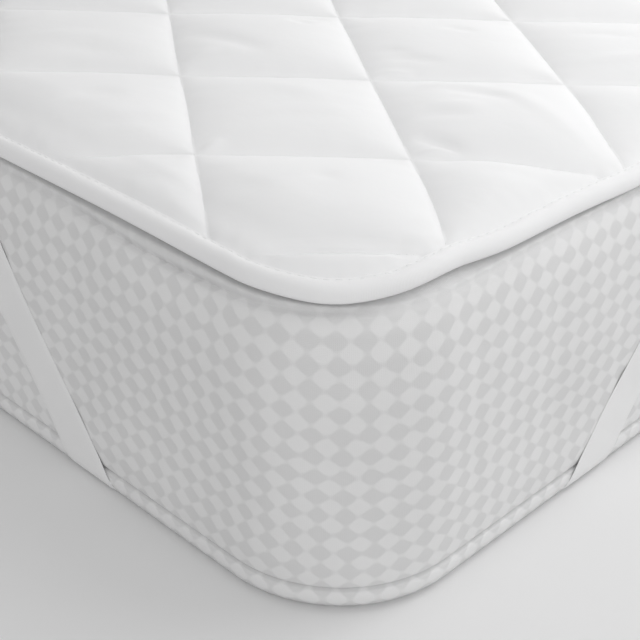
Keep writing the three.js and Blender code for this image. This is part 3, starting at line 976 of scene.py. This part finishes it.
def build_strap(name, material):
    sign_x, sign_y = CORNERS[name]
    route = strap_route()
    away = line_normals(route)
    near = STRAP_CROSSING - GROOVE_INNER_INSET - STRAP_WIDTH / math.sqrt(2)
    across = np.linspace(0.0, 1.0, STRAP_COLUMNS)
    climbed = travelled(route)[-1] - travelled(route)
    in_groove = np.minimum(climbed, GROOVE_INNER_INSET)

    def edge_places(lean, shift):
        aside = shift * smoothstep(climbed, 0, STRAP_SHIFT_RISE)
        along = near + in_groove + lean * (climbed - in_groove) + aside
        return along[:, None] + across * STRAP_WIDTH * math.sqrt(2)

    def corner_frame(inset, along, z, swap):
        first, second = (inset, along) if swap else (along, inset)
        x = sign_x * (HALF_WIDTH - first)
        y = sign_y * (HALF_LENGTH - second)
        return np.stack(np.broadcast_arrays(x, y, z), axis=-1)

    def direction(swap):
        flat = np.zeros(len(route))
        first, second = (away[:, 0], flat) if swap else (flat, away[:, 0])
        return np.stack([-sign_x * first, -sign_y * second, away[:, 1]], axis=-1)

    def side_rows(places, swap):
        rows = corner_frame(route[:, :1], places, route[:, 1:], swap)
        off_cover = STRAP_GAP + STRAP_THICKNESS / 2 - broad_hollow(*np.moveaxis(rows, -1, 0))
        return rows + direction(swap)[:, None, :] * off_cover[:, :, None]

    end_side = side_rows(edge_places(STRAP_END_LEAN, STRAP_END_SHIFT), swap=False)
    long_side = side_rows(edge_places(STRAP_SIDE_LEAN, STRAP_SIDE_SHIFT), swap=True)[::-1]
    shares = np.linspace(0.0, 1.0, UNDER_ROWS + 2)[1:-1, None, None]
    under = end_side[-1] * (1 - shares) + long_side[0] * shares
    rows = np.concatenate([end_side, under, long_side])
    down = np.tile((0.0, 0.0, -1.0), (UNDER_ROWS, 1))
    turned = np.concatenate([direction(False), down, direction(True)[::-1]])
    outer = STRAP_THICKNESS / 2 - STRAP_EDGE_DROP * np.abs(2 * across - 1) ** STRAP_EDGE_POWER
    above = turned[:, None, :] * outer[None, :, None]
    below = turned[:, None, :] * STRAP_THICKNESS / 2
    points = np.concatenate([rows + above, (rows - below)[:, ::-1]], axis=1)
    count = points.shape[1]
    faces = grid_quads(len(points), count, close_columns=True).tolist()
    faces.append(list(range(count)))
    faces.append(list(range((len(points) - 1) * count, len(points) * count)))
    piece = new_piece(f"corner_strap_{name}_web", points.reshape(-1, 3), faces, material)
    run = travelled(rows[:, STRAP_COLUMNS // 2])
    width = STRAP_WIDTH * np.concatenate([across, across[::-1]])
    add_map(piece, "strap_map", np.stack(np.meshgrid(width, run)[::-1], axis=-1).reshape(-1, 2))
    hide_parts(f"corner_strap_{name}")


# Stage, light and camera

FLOOR_HALF = 9.0
FLOOR_DROP = 0.0004
CAMERA_PLACE = (0.99206, -1.36905, 0.57143)
CAMERA_LENS = 77.35
CAMERA_PITCH = math.radians(31.189)
CAMERA_YAW = math.radians(44.507)
CAMERA_ROLL = math.radians(0.473)
LIGHT_TARGET = Vector((0.35, -0.65, 0.15))


def build_floor():
    mesh = bpy.data.meshes.new("floor")
    corners = [(-1, -1), (1, -1), (1, 1), (-1, 1)]
    mesh.from_pydata([(x * FLOOR_HALF, y * FLOOR_HALF, -FLOOR_DROP) for x, y in corners], [], [(0, 1, 2, 3)])
    mesh.materials.append(floor_paint())
    floor = bpy.data.objects.new("floor", mesh)
    bpy.context.scene.collection.objects.link(floor)


def add_area_light(name, azimuth, elevation, distance, size, power):
    """A large soft light that looks at the near corner. Azimuth is from +X towards +Y, in degrees."""
    light = bpy.data.lights.new(name, "AREA")
    light.shape = "DISK"
    light.size = size
    light.energy = power
    turn = math.radians(azimuth)
    lift = math.radians(elevation)
    away = Vector((math.cos(turn) * math.cos(lift), math.sin(turn) * math.cos(lift), math.sin(lift)))
    lamp = bpy.data.objects.new(name, light)
    lamp.visible_camera = False
    lamp.location = LIGHT_TARGET + away * distance
    lamp.rotation_euler = away.to_track_quat("Z", "Y").to_euler()
    bpy.context.scene.collection.objects.link(lamp)


def add_sky(colour, strength):
    world = bpy.data.worlds.new("studio")
    world.use_nodes = True
    background = world.node_tree.nodes["Background"]
    background.inputs["Color"].default_value = (*colour, 1.0)
    background.inputs["Strength"].default_value = strength
    bpy.context.scene.world = world


def add_camera():
    camera = bpy.data.objects.new("camera", bpy.data.cameras.new("camera"))
    camera.data.lens = CAMERA_LENS
    camera.data.clip_start = 0.02
    level = Matrix.Rotation(CAMERA_YAW, 4, "Z") @ Matrix.Rotation(TAU / 4 - CAMERA_PITCH, 4, "X")
    turn = level @ Matrix.Rotation(CAMERA_ROLL, 4, "Z")
    camera.matrix_world = Matrix.Translation(CAMERA_PLACE) @ turn
    bpy.context.scene.collection.objects.link(camera)
    bpy.context.scene.camera = camera


build_mattress()
pad_cloth = quilt_cloth()
build_pad(pad_cloth)
build_quilting_stitches(pad_cloth)
tape_cloth = binding_tape()
build_binding(tape_cloth, pad_cloth)
strap_cloth = elastic_web()
for corner in CORNERS:
    build_strap(corner, strap_cloth)

build_floor()
add_sky((1.0, 0.998, 0.995), 0.52)
add_area_light("key", azimuth=76, elevation=13, distance=5.0, size=1.6, power=31.0)
add_area_light("back", azimuth=120, elevation=13, distance=5.0, size=1.6, power=48.0)
add_area_light("top", azimuth=45, elevation=57, distance=1.05, size=0.8, power=3.5)
add_area_light("side_fill", azimuth=-8, elevation=35, distance=3.0, size=2.0, power=3.5)
add_area_light("corner_fill", azimuth=-45, elevation=35, distance=3.0, size=2.0, power=11.5)
bpy.context.scene.view_settings.view_transform = "Standard"
add_camera()
